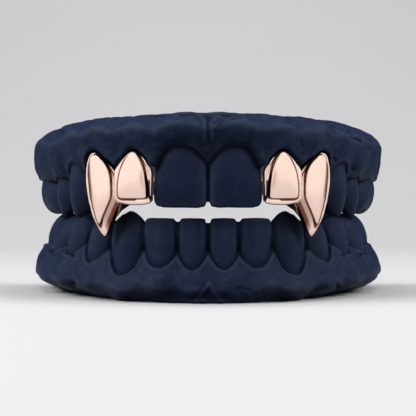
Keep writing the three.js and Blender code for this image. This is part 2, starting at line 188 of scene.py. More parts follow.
def tooth_row(jaw):
    """Where the teeth of one side stand along the line, with their sizes in millimetres."""
    along = 0
    papilla = jaw["midline"] * jaw["height"]
    row = []
    for kind, width, depth, edge, gum, after, lean, tip, stand, more in jaw["teeth"]:
        width = width * jaw["row"]
        after = after * jaw["height"]
        row.append(dict(
            kind=kind, width=width, depth=depth * WALL, lean=lean, tip=tip, more=more,
            edge=edge * jaw["height"], gum=gum * jaw["height"], stand=stand * WALL,
            middle=along + width / 2, papillae=(papilla, after),
        ))
        papilla = after
        along += width
    return row


upper_row = tooth_row(UPPER)
lower_row = tooth_row(LOWER)
print("upper teeth stand at", [round(tooth["middle"], 1) for tooth in upper_row])

# %% [markdown]
# Most forms here come from three simple curves: a smooth line through the points of a table, a
# ramp that fades something in or out, and a round hill for ridges, grooves and rolls.


# %% Three curves
def smooth_curve(xs, ys, x):
    """A cubic curve through the points, which never overshoots them."""
    xs = np.asarray(xs, float)
    ys = np.asarray(ys, float)
    step = np.diff(xs)
    slope = np.diff(ys) / step
    tangent = np.zeros(len(xs))
    both = slope[:-1] * slope[1:] > 0
    mean = 2 * slope[:-1] * slope[1:] / np.where(both, slope[:-1] + slope[1:], 1)
    tangent[1:-1] = np.where(both, mean, 0)
    tangent[0] = slope[0]
    tangent[-1] = slope[-1]
    x = np.clip(x, xs[0], xs[-1])
    i = np.clip(np.searchsorted(xs, x, side="right") - 1, 0, len(xs) - 2)
    t = (x - xs[i]) / step[i]
    rise = ys[i] * (1 + 2 * t) * (1 - t) ** 2 + ys[i + 1] * t**2 * (3 - 2 * t)
    return rise + step[i] * t * (1 - t) * (tangent[i] * (1 - t) - tangent[i + 1] * t)


def fade(value, start, steep):
    """Rises from 0 at the start to 1, or falls to 0 there where steep is below zero."""
    return np.clip((value - start) * steep, 0, 1)


def hill(away, width):
    """1 in the middle, and a soft slope to 0 on both sides."""
    return np.exp(-((away / width) ** 2))


# %% [markdown]
# Lofting. A tooth, the gum and a cap are all a ring of points that changes from one end to the
# other. By hand that is a filled circle, extruded once for every further ring, with each ring then
# moved to its place. The circle's fill closes both ends, so the result is a solid.


# %% The loft
def loft(name, rings):
    """A solid through rings of equally many points, in metres."""
    rings = np.asarray(rings, float)
    pick(bpy.context.scene.objects[0])
    bpy.ops.mesh.primitive_circle_add(vertices=rings.shape[1], fill_type="NGON", radius=MM)
    made = bpy.context.object
    made.name = name
    bpy.ops.object.mode_set(mode="EDIT")
    for _ in rings[1:]:
        bpy.ops.mesh.extrude_region_move()
    bpy.ops.object.mode_set(mode="OBJECT")
    made.data.vertices.foreach_set("co", rings.reshape(-1))
    made.location = (0, 0, 0)
    bpy.ops.object.mode_set(mode="EDIT")
    bpy.ops.mesh.select_all(action="SELECT")
    bpy.ops.mesh.normals_make_consistent(inside=False)
    bpy.ops.object.mode_set(mode="OBJECT")
    if volume(made) < 0:
        bpy.ops.object.mode_set(mode="EDIT")
        bpy.ops.mesh.flip_normals()
        bpy.ops.object.mode_set(mode="OBJECT")
    return made


# %% [markdown]
# The camera stands 160 millimetres in front of the arch, level with the middle of the bite, and
# looks straight at it through a long lens, so the two sides of the jaw show alike.

# %% Camera
CAMERA_DISTANCE = 160
EYE_HEIGHT = 15.2
lens_data = bpy.data.cameras.new("front_camera")
lens_data.lens = 88.6
lens_data.sensor_width = 36
lens_data.clip_start = 0.01
camera = bpy.data.objects.new("front_camera", lens_data)
camera.location = (0, (ARCH_FRONT - CAMERA_DISTANCE) * MM, EYE_HEIGHT * MM)
camera.rotation_euler = (math.pi / 2, 0, 0)
bpy.context.scene.collection.objects.link(camera)
bpy.context.scene.camera = camera
print("camera at", [round(place_at, 3) for place_at in camera.location])

# %% [markdown]
# The stage is one pale sheet: a floor that turns up behind the object in a wide curve, as paper
# does in a studio. It is a plane whose back edge is extruded upwards, with the fold rounded by a
# bevel of many segments. Polished metal mirrors everything, so the sheet is cut in two behind the
# object: the floor shows in the metal, and the back part is hidden from mirror rays alone. Then the
# steep sides of the caps mirror the dim room, which draws their edges as thin dark lines. Neither
# part throws light back at the object, because that would fill the dents between the teeth.

# %% Floor and backdrop
FLOOR_WIDTH = 1.6
paper = bpy.data.materials.new("pale_paper")
paper.use_nodes = True
paper_shader = paper.node_tree.nodes["Principled BSDF"]
paper_shader.inputs["Base Color"].default_value = (0.72, 0.72, 0.73, 1)
paper_shader.inputs["Roughness"].default_value = 0.9
paper_shader.inputs["Specular IOR Level"].default_value = 0.1


def select_edges(thing, wanted):
    """Selects the edges whose two ends are both wanted, and stays in edit mode."""
    bpy.ops.object.mode_set(mode="EDIT")
    bpy.ops.mesh.select_mode(type="EDGE")
    bpy.ops.mesh.select_all(action="DESELECT")
    bpy.ops.object.mode_set(mode="OBJECT")
    for edge in thing.data.edges:
        edge.select = all(wanted(thing.data.vertices[i].co) for i in edge.vertices)
    bpy.ops.object.mode_set(mode="EDIT")


def paper_sheet(name, front, back):
    """A flat sheet of paper from front to back."""
    bpy.ops.object.select_all(action="DESELECT")
    bpy.ops.mesh.primitive_plane_add(size=1, location=(0, (front + back) / 2, 0))
    sheet = bpy.context.object
    sheet.name = name
    sheet.scale = (FLOOR_WIDTH, back - front, 1)
    bpy.ops.object.transform_apply(location=True, scale=True)
    sheet.data.materials.append(paper)
    sheet.visible_diffuse = False
    return sheet


paper_floor = paper_sheet("paper_floor", -1.2, 0.09)
backdrop = paper_sheet("paper_backdrop", 0.09, 0.6)
backdrop.visible_glossy = False
select_edges(backdrop, lambda co: co.y > 0.5)
bpy.ops.mesh.extrude_region_move(TRANSFORM_OT_translate={"value": (0, 0, 1.2)})
select_edges(backdrop, lambda co: co.y > 0.5 and co.z < 0.1)
bpy.ops.mesh.bevel(offset=0.4, segments=24)
bpy.ops.object.mode_set(mode="OBJECT")
bpy.ops.object.shade_smooth()
print("backdrop:", triangles(backdrop), "triangles")

# %% [markdown]
# The light is soft. Two tall panels stand left and right of the camera and reach well round the
# sides, because a cap on the side of the arch mirrors what stands beside it, and a third stands
# behind the camera. All three are only there for the metal: they don't light the stone, whose forms
# would go flat. The stone is modelled by two smaller key panels, high on both sides, so each tooth
# is paler at its sides than in front. The keys would make small hard glints in the metal, so they
# are linked to a collection that holds the stone and the paper alone.


# %% Lights
def panel(name, place_at, width, height, radiance, aim=(0, -0.01, 0.016)):
    """A rectangular light that faces a point, with the brightness that it shows in a mirror."""
    light = bpy.data.lights.new(name, "AREA")
    light.shape = "RECTANGLE"
    light.size = width
    light.size_y = height
    light.energy = radiance * width * height * math.pi
    thing = bpy.data.objects.new(name, light)
    thing.location = place_at
    direction = Vector(aim) - Vector(place_at)
    thing.rotation_euler = direction.to_track_quat("-Z", "Y").to_euler()
    bpy.context.scene.collection.objects.link(thing)
    return thing


dull_things = bpy.data.collections.new("lit_by_the_keys")
dull_things.objects.link(paper_floor)
dull_things.objects.link(backdrop)
side_panels = [
    panel(name, (x, -0.15, 0.2), 0.76, 0.48, radiance)
    for name, x, radiance in (("left_panel", -0.36, 1.16), ("right_panel", 0.36, 1.1))
]
for name, x, radiance in (("left_key", -0.34, 9.5), ("right_key", 0.34, 7.8)):
    key = panel(name, (x, -0.15, 0.27), 0.24, 0.2, radiance)
    key.light_linking.receiver_collection = dull_things
front_panel = panel("front_panel", (0, -0.62, 0.2), 0.6, 0.4, 0.85)
for mirrored in (*side_panels, front_panel):
    mirrored.visible_diffuse = False
panel("backdrop_panel", (0, 0.05, 0.75), 0.9, 0.2, 7, aim=(0, 0.5, 0.1))
print("lights:", sorted(light.name for light in bpy.data.lights))

# %% [markdown]
# The room is dim for the object, and pale where the camera looks past the paper. So the world
# holds two plain backgrounds, and the kind of ray chooses between them.

# %% Room
world = bpy.data.worlds.new("dim_room")
bpy.context.scene.world = world
world.use_nodes = True
sky = world.node_tree
room = sky.nodes["Background"]
room.inputs["Color"].default_value = (0.05, 0.052, 0.06, 1)
pale_wall = sky.nodes.new("ShaderNodeBackground")
pale_wall.inputs["Color"].default_value = (0.62, 0.62, 0.63, 1)
ray = sky.nodes.new("ShaderNodeLightPath")
either = sky.nodes.new("ShaderNodeMixShader")
sky.links.new(ray.outputs["Is Camera Ray"], either.inputs["Fac"])
sky.links.new(room.outputs["Background"], either.inputs[1])
sky.links.new(pale_wall.outputs["Background"], either.inputs[2])
sky.links.new(either.outputs["Shader"], sky.nodes["World Output"].inputs["Surface"])
bpy.context.scene.view_settings.view_transform = "Standard"

# %% [markdown]
# Materials. Stone and metal share two effects, so each is a node group: a fine grain that gives a
# height and a mottling value, and a mask of raised edges and of hollows, for a painted highlight on
# the edges and a painted shade in the hollows. The mask reads a relief stored on each mesh once its
# shape is finished: on the stone how far the surface stands proud, on the metal its painted dark
# reflection.


# %% Helpers for nodes
def group(name, inputs, outputs):
    """An empty shader group with float inputs and outputs."""
    made = bpy.data.node_groups.new(name, "ShaderNodeTree")
    for label, value in inputs.items():
        socket = made.interface.new_socket(label, in_out="INPUT", socket_type="NodeSocketFloat")
        socket.default_value = value
    for label in outputs:
        made.interface.new_socket(label, in_out="OUTPUT", socket_type="NodeSocketFloat")
    made.nodes.new("NodeGroupInput")
    made.nodes.new("NodeGroupOutput")
    return made


def node(tree, kind, placed=None, **values):
    """A node, or a placed shader group, with some of its input sockets set by name."""
    made = tree.nodes.new(kind)
    if placed:
        made.node_tree = placed
    for label, value in values.items():
        made.inputs[label.replace("_", " ")].default_value = value
    return made


# %% Shader group: fine grain
grain = group("fine_grain", {"Scale": 600.0, "Patches": 60.0}, ["Height", "Mottle"])
spot = grain.nodes.new("ShaderNodeTexCoord")
fine = node(grain, "ShaderNodeTexNoise", Detail=3.0, Roughness=0.6)
broad = node(grain, "ShaderNodeTexNoise", Detail=4.0, Roughness=0.55)
for noise_node, label, result in ((fine, "Scale", "Height"), (broad, "Patches", "Mottle")):
    grain.links.new(spot.outputs["Object"], noise_node.inputs["Vector"])
    grain.links.new(grain.nodes["Group Input"].outputs[label], noise_node.inputs["Scale"])
    grain.links.new(noise_node.outputs["Fac"], grain.nodes["Group Output"].inputs[result])
print(grain.name, "has", len(grain.nodes), "nodes")

# %% Shader group: painted highlight on raised edges and painted shade in hollows, by the relief in millimetres
relief_shading = group("edge_highlight_and_hollow_shade", {"Edge from": 0.01, "Edge to": 0.06}, ["Edge", "Hollow"])
relief = relief_shading.nodes.new("ShaderNodeAttribute")
relief.attribute_name = "relief"
raised = node(relief_shading, "ShaderNodeMapRange")
sunken = node(relief_shading, "ShaderNodeMapRange", From_Min=-0.01, From_Max=-0.07)
for range_node, result in ((raised, "Edge"), (sunken, "Hollow")):
    relief_shading.links.new(relief.outputs["Fac"], range_node.inputs["Value"])
    relief_shading.links.new(range_node.outputs["Result"], relief_shading.nodes["Group Output"].inputs[result])
for label, socket in (("Edge from", "From Min"), ("Edge to", "From Max")):
    relief_shading.links.new(relief_shading.nodes["Group Input"].outputs[label], raised.inputs[socket])
print(relief_shading.name, "has", len(relief_shading.nodes), "nodes")


# %% A mottled material
def lay_over(tree, mask, below, colour):
    """Lays a plain colour over another one where a mask says so."""
    mix = tree.nodes.new("ShaderNodeMix")
    mix.data_type = "RGBA"
    mix.inputs["B"].default_value = (*colour, 1)
    tree.links.new(mask, mix.inputs["Factor"])
    tree.links.new(below, mix.inputs["A"])
    return mix.outputs["Result"]


def mottled(name, scale, patches, colours, hollow, rough, bump, spread=(0, 1), edge_highlight=None):
    """A material whose colour and roughness vary a little, with its shader for plain values."""
    made = bpy.data.materials.new(name)
    made.use_nodes = True
    tree = made.node_tree
    shader = tree.nodes["Principled BSDF"]
    grained = node(tree, "ShaderNodeGroup", grain, Scale=scale, Patches=patches)
    relief_shading_node = node(tree, "ShaderNodeGroup", relief_shading)
    ramp = tree.nodes.new("ShaderNodeValToRGB")
    for stop, position, colour in zip(ramp.color_ramp.elements, spread, colours):
        stop.position = position
        stop.color = (*colour, 1)
    tree.links.new(grained.outputs["Mottle"], ramp.inputs["Fac"])
    colour = ramp.outputs["Color"]
    # Raised edges get a painted highlight and hollows a painted shade, both read from the relief.
    if edge_highlight:
        colour = lay_over(tree, relief_shading_node.outputs["Edge"], colour, edge_highlight)
    colour = lay_over(tree, relief_shading_node.outputs["Hollow"], colour, hollow)
    tree.links.new(colour, shader.inputs["Base Color"])
    roughness = node(tree, "ShaderNodeMapRange", To_Min=rough[0], To_Max=rough[1])
    tree.links.new(grained.outputs["Mottle"], roughness.inputs["Value"])
    tree.links.new(roughness.outputs["Result"], shader.inputs["Roughness"])
    bumps = node(tree, "ShaderNodeBump", Strength=bump[0], Distance=bump[1])
    tree.links.new(grained.outputs["Height"], bumps.inputs["Height"])
    tree.links.new(bumps.outputs["Normal"], shader.inputs["Normal"])
    print(name, "has", len(tree.nodes), "nodes")
    return made, shader


# %% [markdown]
# Dental stone is a hard plaster with its colour mixed in. It is matt and slightly cloudy where it
# was poured. Its raised edges get a paler painted highlight and its crevices a darker painted shade.
# Its skin has a fine stipple from the mould.

# %% Dental stone
stone, stone_shader = mottled(
    "navy_dental_stone", scale=3600, patches=130, spread=(0.3, 0.72),
    colours=((0.0101, 0.0182, 0.0525), (0.0139, 0.0242, 0.0665)),
    # The paler colour is a painted highlight on raised edges, the darker one a painted shade in
    # crevices.
    edge_highlight=(0.025, 0.0375, 0.079), hollow=(0.0025, 0.005, 0.02),
    rough=(0.42, 0.5), bump=(0.7, 0.00022),
)
stone_shader.inputs["Specular IOR Level"].default_value = 0.08

# %% [markdown]
# Rose gold, cast and polished by hand. A mirror of one colour would look like a drawing, so the
# polish varies a little: faint waves of the buffing wheel and a trace of colour change. The narrow
# step round each plate and the wall behind the fang's inner facet are painted dark, a painted dark
# reflection, and the facet itself is painted a little darker, so it is less bright than the plates.

# %% Rose gold
gold, gold_shader = mottled(
    "polished_rose_gold", scale=500, patches=220,
    # The hollow colour is a painted dark reflection in the step, on the facet and on the wall behind
    # it.
    colours=((0.87, 0.635, 0.535), (0.89, 0.67, 0.57)), hollow=(0.16, 0.055, 0.035),
    rough=(0.19, 0.26), bump=(0.05, 0.0001),
)
gold_shader.inputs["Metallic"].default_value = 1

# %% [markdown]
# Teeth. Seen from its end a crown is a rounded square, and that section changes from the neck to
# the edge: an incisor thins to a blade, a canine to a point, and the back teeth end in cusps round
# a shallow pit. So each kind is a short table of sections, with a smooth curve between the rows.

# %% Tables of the crowns
# Rows: how far down the crown, width and depth as shares of the tooth, and how far the front lies
# back, as a share of the depth. A fifth number lets the cusps of that row stand out. Taper makes
# the tongue side narrower, and a higher square has fuller corners.
CROWNS = {
    "central": dict(taper=0.35, square=2.35, rows=[
        (-0.35, 0.62, 0.8, 0.12, 0), (0, 0.84, 0.92, 0.05, 0), (0.25, 0.95, 0.9, 0.005, 0),
        (0.5, 0.99, 0.7, 0, 0), (0.72, 1, 0.47, 0.02, 0), (0.86, 0.99, 0.33, 0.05, 0),
        (0.94, 0.95, 0.24, 0.07, 0), (0.985, 0.88, 0.16, 0.09, 0), (1, 0.76, 0.07, 0.12, 0),
    ]),
    "canine": dict(taper=0.3, square=2.1, rows=[
        (-0.3, 0.62, 0.85, 0.1, 0), (0, 0.84, 0.95, 0.03, 0), (0.3, 0.99, 0.92, 0, 0),
        (0.55, 1, 0.75, 0, 0), (0.72, 0.87, 0.52, 0.04, 0), (0.84, 0.64, 0.36, 0.08, 0),
        (0.93, 0.4, 0.24, 0.12, 0), (0.98, 0.2, 0.15, 0.15, 0), (1, 0.08, 0.08, 0.18, 0),
    ]),
    "lower_canine": dict(taper=0.3, square=2.1, rows=[
        (-0.3, 0.5, 0.85, 0.1, 0), (0, 0.68, 0.95, 0.03, 0), (0.25, 0.87, 0.92, 0, 0),
        (0.5, 0.98, 0.77, 0, 0), (0.7, 0.93, 0.54, 0.04, 0), (0.84, 0.7, 0.36, 0.08, 0),
        (0.93, 0.43, 0.24, 0.12, 0), (0.98, 0.2, 0.15, 0.15, 0), (1, 0.06, 0.08, 0.18, 0),
    ]),
    "premolar": dict(taper=0.1, square=2, rows=[
        (-0.3, 0.62, 0.8, 0.1, 0), (0, 0.78, 0.93, 0.03, 0), (0.3, 0.95, 1, 0, 0),
        (0.5, 0.98, 0.98, 0.01, 0.1), (0.66, 0.9, 0.9, 0.05, 0.5), (0.78, 0.72, 0.76, 0.12, 0.9),
        (0.8, 0.5, 0.54, 0.23, 1), (0.7, 0.3, 0.26, 0.37, 0.25),
    ]),
    "molar": dict(taper=0.05, square=2.2, rows=[
        (-0.3, 0.66, 0.8, 0.1, 0), (0, 0.8, 0.93, 0.03, 0), (0.35, 0.95, 1, 0, 0),
        (0.55, 0.98, 0.98, 0.01, 0.1), (0.7, 0.91, 0.9, 0.05, 0.5), (0.8, 0.78, 0.76, 0.12, 0.8),
        (0.81, 0.6, 0.56, 0.22, 0.95), (0.7, 0.32, 0.26, 0.37, 0.25),
    ]),
}
CROWNS["lateral"] = CROWNS["central"]
CROWNS["incisor"] = dict(CROWNS["central"], square=2.05)
CUSP = {"premolar": 0.25, "molar": 0.19}
print("kinds of crown:", sorted(CROWNS))

# %% [markdown]
# The fine forms of a front are added where the section is worked out. Incisors have two shallow
# hollows between three lobes, canines and premolars a blunt ridge down to the point, and molars
# a groove between their cusps.

# %% The crown
CROWN_SIDES = 40
CROWN_RINGS = 33
CORNER = 1.5  # the corner away from the middle is rounder than the one towards it
LOBE_HOLLOW = dict(at=0.42, width=0.26, depth=0.16, tooth=8)
CUSP_GROOVE = dict(width=0.16, depth=0.45)
RIDGE = dict(width=0.3, height=0.3)


def front_forms(kind, x, y, down, width):
    """How far lobes, ridges and grooves lie back from a crown's plain section, in millimetres."""
    if kind in ("central", "incisor"):
        hollow = hill(np.abs(x) - LOBE_HOLLOW["at"], LOBE_HOLLOW["width"]) * np.maximum(y, 0)
        reach = fade(down, 0.2, 2) * fade(down, 1.02, -8)
        return LOBE_HOLLOW["depth"] * hollow * reach * width / LOBE_HOLLOW["tooth"]
    if kind == "molar":
        groove = hill(x, CUSP_GROOVE["width"]) * np.abs(y) * fade(down, 0.3, 2.5)
        return CUSP_GROOVE["depth"] * groove * np.sign(y)
    if kind in ("canine", "lower_canine", "premolar"):
        ridge = hill(x, RIDGE["width"]) * np.maximum(y, 0)
        return -RIDGE["height"] * ridge * fade(down, 0.1, 2) * fade(down, 1, -6)
    return 0


def crown(jaw, tooth, side, grow=0):
    """One tooth as a solid, larger all round by grow where it is the hollow of a cap."""
    kind = tooth["kind"]
    shape = CROWNS[kind]
    rows = np.array(shape["rows"], float)
    step = np.linspace(0, len(rows) - 1, CROWN_RINGS)
    down, wide, deep, back, cusp = (
        smooth_curve(np.arange(len(rows)), column, step)[:, None] for column in rows.T
    )
    angle = np.linspace(0, 2 * math.pi, CROWN_SIDES, endpoint=False)
    x, y = (
        np.sign(turn) * np.abs(turn) ** (2 / shape["square"]) for turn in (np.cos(angle), np.sin(angle))
    )
    cusps = np.zeros(CROWN_SIDES)
    if kind == "premolar":
        cusps = np.abs(np.sin(angle)) ** 3
    if kind == "molar":
        cusps = (1 - np.cos(4 * angle)) / 2
    width = tooth["width"] * CONTACT + tooth["more"] + 2 * grow
    depth = tooth["depth"] + 2 * grow
    crown_height = tooth["gum"] - tooth["edge"]
    drop = (down + CUSP.get(kind, 0) * cusp * cusps) * (crown_height + grow)
    narrowed = x * (1 - shape["taper"] * np.maximum(-y, 0))
    if kind in ("central", "incisor", "lateral"):
        wide = np.where(x > 0, wide**CORNER, wide)
    across = tooth["more"] / 2 + narrowed * wide * width / 2
    across = across - tooth["tip"] * (drop - crown_height / 2)
    behind = (back + deep * (1 - y) / 2) * depth + front_forms(kind, x, y, down, tooth["width"])
    out = grow + tooth["stand"] - behind + tooth["lean"] * drop
    rings = place(jaw, tooth["middle"], side, across, out, tooth["gum"] - drop)
    return loft(kind, rings)


# %% [markdown]
# A cap is modelled from the front, as a jeweller would carve its wax: a domed plate with a crisp
# edge, a steep step down to a narrow rim, then sides that curve back round the tooth. The plate
# and the rim each have an outline, and the rings between them are mixtures of the two.
#
# The fang has no rim low on its middle side. One wide facet slopes there from the plate to the
# edge. Its table says where the facet begins and ends, how flat it is, how far it sinks back and
# how fast it grows. Tilt leans the plate back on its outer side, and taper draws the back of the
# cap in. Hidden is how much wider the painted dark line in the step has to be where the plate stands
# before it. The next number is how dark the facet is painted, and wall how dark the metal behind it is
# painted, all as painted dark reflection.

# %% Outlines of the caps
# Each point: how far down, then the outer side and the middle side of the outline, as shares of
# the cap's height and of the tooth's width.
FANG = dict(
    tooth=upper_row[2], height=13.8, tip_bow=1.0, top_bow=0.4, filled=0.6, slim=0.66, centre=0.02,
    facet=dict(top=0.3, end=1.02, flat=1, sink=0.2, growth=8),
    # The last three numbers set the painted dark reflection of the step, the facet and the wall.
    taper=0.84, tilt=0.12, hidden=0.53, painted_facet_shade=0.48, wall=0.95,
    rim=[
        (0, 0.29, 0.29), (0.012, 0.37, 0.215), (0.03, 0.41, 0.14), (0.05, 0.438, 0.06),
        (0.083, 0.468, -0.03), (0.148, 0.5, -0.19), (0.2, 0.52, -0.31), (0.28, 0.53, -0.46),
        (0.4, 0.518, -0.5), (0.58, 0.44, -0.494), (0.65, 0.39, -0.408), (0.75, 0.325, -0.294),
        (0.83, 0.24, -0.21), (0.9, 0.15, -0.145), (0.95, 0.075, -0.105), (0.985, 0.01, -0.07),
        (1, -0.03, -0.03),
    ],
    plate=[
        (0.032, 0.2, 0.2), (0.041, 0.265, 0.14), (0.056, 0.3, 0.07), (0.087, 0.323, -0.03),
        (0.13, 0.335, -0.135), (0.2, 0.342, -0.235), (0.31, 0.335, -0.3), (0.44, 0.3, -0.328),
        (0.52, 0.27, -0.315), (0.58, 0.24, -0.275), (0.66, 0.19, -0.185), (0.73, 0.14, -0.105),
        (0.79, 0.095, -0.045), (0.83, 0.06, -0.01), (0.85, 0.025, 0.025),
    ],
)
LATERAL = dict(
    tooth=upper_row[1], height=8.6, tip_bow=0.5, top_bow=0.4, filled=0.9, slim=0.5, centre=0.17,
    facet=dict(top=0.2, end=0.97, flat=0, sink=0.95, growth=2.4),
    taper=0.3, tilt=0, hidden=0.33, painted_facet_shade=0, wall=0,
    rim=[
        (0, 0.107, 0.107), (0.02, 0.19, 0.04), (0.057, 0.273, -0.061), (0.1, 0.335, -0.14),
        (0.16, 0.43, -0.226), (0.27, 0.57, -0.335), (0.34, 0.65, -0.386), (0.41, 0.68, -0.413),
        (0.54, 0.69, -0.415), (0.72, 0.69, -0.408), (0.87, 0.66, -0.408), (0.93, 0.6, -0.4),
        (0.97, 0.46, -0.34), (0.99, 0.34, -0.22), (1, 0.2, -0.05),
    ],
    plate=[
        (0.016, 0.054, 0.054), (0.023, 0.1, 0.008), (0.042, 0.135, -0.032), (0.09, 0.205, -0.09),
        (0.15, 0.272, -0.134), (0.21, 0.319, -0.168), (0.35, 0.415, -0.237), (0.51, 0.471, -0.277),
        (0.68, 0.498, -0.306), (0.81, 0.495, -0.314), (0.855, 0.47, -0.31), (0.875, 0.4, -0.26),
        (0.88, 0.2, -0.1),
    ],
)
RING_POINTS = 96
CURVE_POINTS = 40  # between two points of a table


def outline(points):
    """A closed outline as a smooth curve through a table's points, across and down."""
    down, outer, inner = np.array(points, float).T
    # Down the middle side and up the outer one. The top, and a pointed end, belong to both.
    last = len(down) - 1 if outer[-1] == inner[-1] else len(down)
    loops = [
        np.concatenate([side, other[1:last][::-1]]) for side, other in ((inner, outer), (down, down))
    ]
    n = len(loops[0])
    t = np.linspace(0, n, CURVE_POINTS * n, endpoint=False)
    i = t.astype(int)
    s = t - i
    curves = []
    for loop in loops:
        p0, p1, p2, p3 = (loop[(i + k) % n] for k in (-1, 0, 1, 2))
        curves.append(0.5 * (
            2 * p1 + (p2 - p0) * s + (2 * p0 - 5 * p1 + 4 * p2 - p3) * s**2
            + (3 * p1 - p0 - 3 * p2 + p3) * s**3
        ))
    return curves


def ring_of(cap, edge):
    """Evenly spaced points round a cap's rim or plate, from its top, in millimetres."""
    across, down = outline(cap[edge])
    x = across * cap["tooth"]["width"]
    y = down * cap["height"]
    start = int(np.argmin(y))
    x = np.roll(x, -start)
    y = np.roll(y, -start)
    length = np.append(0, np.cumsum(np.hypot(np.diff(x, append=x[0]), np.diff(y, append=y[0]))))
    want = np.linspace(0, length[-1], RING_POINTS, endpoint=False)
    return np.interp(want, length, np.append(x, x[0])), np.interp(want, length, np.append(y, y[0]))


for cap in (LATERAL, FANG):
    wide = round(float(np.ptp(ring_of(cap, "rim")[0])), 2)
    print("the rim on the", cap["tooth"]["kind"], "is", wide, "mm wide")

# %% [markdown]
# The rings of a cap run from the middle of the plate to the tongue side. A first number says how
# large the ring is, a second how far it has gone from the plate's outline to the rim's, a third
# how far it stands out. Rings close together keep an edge crisp, rings far apart let it round.

# %% Rings of the caps
# From the plate: size, share of the way to the rim, stand in millimetres.
FACE_RINGS = [
    (0.03, 0, 1.42), (0.2, 0, 1.41), (0.4, 0, 1.38), (0.6, 0, 1.33), (0.78, 0, 1.26),
    (0.9, 0, 1.19), (0.96, 0, 1.14), (0.99, 0, 1.08), (1, 0.015, 0.99), (1, 0.05, 0.75),
    (1, 0.1, 0.5), (1, 0.18, 0.38), (1, 0.24, 0.37), (1, 0.3, 0.37), (1, 0.36, 0.385),
    (1, 0.43, 0.4), (1, 0.5, 0.42), (1, 0.6, 0.425), (1, 0.72, 0.42), (1, 0.84, 0.4),
    (1, 0.93, 0.3), (1, 0.98, 0.2), (1, 1, 0.06),
]
# Behind the rim: width, height, top inset, depth behind the tooth line, shift.
FANG_BACK = [
    (1, 0.995, 0, 0.02, 0), (0.99, 0.985, 0, 0.15, 0), (0.95, 0.88, 0.005, 0.34, 0),
    (0.92, 0.76, 0.01, 0.53, 0.01), (0.88, 0.67, 0.02, 0.76, 0.03), (0.8, 0.62, 0.03, 0.98, 0.04),
    (0.68, 0.56, 0.06, 1.14, 0.05), (0.5, 0.48, 0.1, 1.25, 0.05), (0.2, 0.25, 0.2, 1.29, 0.05),
]
LATERAL_BACK = [
    (0.995, 1, 0, 0.02, 0), (0.95, 0.99, 0, 0.15, 0.02), (0.86, 0.96, 0.005, 0.34, 0.065),
    (0.76, 0.93, 0.01, 0.53, 0.11), (0.67, 0.86, 0.02, 0.76, 0.15), (0.58, 0.78, 0.03, 0.98, 0.19),
    (0.5, 0.68, 0.06, 1.1, 0.21), (0.36, 0.55, 0.12, 1.18, 0.22), (0.15, 0.26, 0.26, 1.22, 0.22),
]
CAPS = ((LATERAL, LATERAL_BACK), (FANG, FANG_BACK))
PLATE_END = 0.04  # rings that have gone less far towards the rim belong to the plate
FACET_STAND = 0.8  # how far out the facet begins
FACET_FALL = 0.74  # how far it comes down to the rim
TILT_SPAN = 0.3
STEP_FILL = 0.4  # how much of the tilt the step keeps
SINK_FULL = 0.75  # share of the way at which the facet lies back in full
BACK_START = 0.1
TAPER_START = 0.7


def face_rings(cap):
    """The rings from the plate to the rim: across, down, stand and how far they sink back."""
    width = cap["tooth"]["width"]
    rim_x, rim_y = ring_of(cap, "rim")
    plate_x, plate_y = ring_of(cap, "plate")
    centre = plate_x.mean(), plate_y.mean()
    down = rim_y / cap["height"]
    slope = cap["facet"]
    facet = fade(-rim_x / width, 0, 6) * fade(down, slope["top"], slope["growth"])
    facet = facet * fade(down, slope["end"], -10)
    sunk = facet * slope["sink"]
    rings = []
    for size, way, stand in FACE_RINGS:
        x = centre[0] + (plate_x - centre[0]) * size
        y = centre[1] + (plate_y - centre[1]) * size
        outer = np.clip(x / width / TILT_SPAN, 0, 1) * cap["tilt"]
        if way < PLATE_END:
            stand = stand - outer
        else:
            stand = stand + STEP_FILL * outer * math.sin(math.pi * way)
            stand = stand + (FACET_STAND - FACET_FALL * way - stand) * facet * slope["flat"]
        x = x + (rim_x - x) * way
        y = y + (rim_y - y) * way
        rings.append((x, y, stand, sunk * min(way / SINK_FULL, 1)))
    return rings, sunk


def back_rings(cap, backs, sunk, grow):
    """The rings behind the rim, in the same columns."""
    tooth = cap["tooth"]
    width = tooth["width"]
    rim_x, rim_y = ring_of(cap, "rim")
    rings = []
    for wide, tall, top, behind, shift in backs:
        x = rim_x * wide + shift * width
        y = top * cap["height"] + rim_y * tall
        out = -behind * tooth["depth"] - (grow if behind > BACK_START else 0)
        # Low on the middle side the back draws in, so that it hardly shows past the front.
        inward = cap["taper"] * max(behind * tooth["depth"] - TAPER_START, 0)
        low = fade(-x / width, 0, 5) * fade(y / cap["height"], 0.42, 7)
        x = np.where(x < 0, np.minimum(x + inward * low, 0.25 * width), x)
        rings.append((x, y, out, sunk * max(1 - behind * 1.2, 0)))
    return rings


# %% [markdown]
# Each ring is then laid round the arch. Above and below its fullest part a cap bows back, as the
# tooth under it does. The bow and the facet lie back from the viewer, so the outline keeps its
# shape. The same function makes a slightly larger cutter, which keeps the stone clear of the cap.

# %% A cap as a solid
CAP_GUM_GAP = 0.3
CAP_FULLEST = 0.45  # share of the height
GROUND_STAND = -0.5


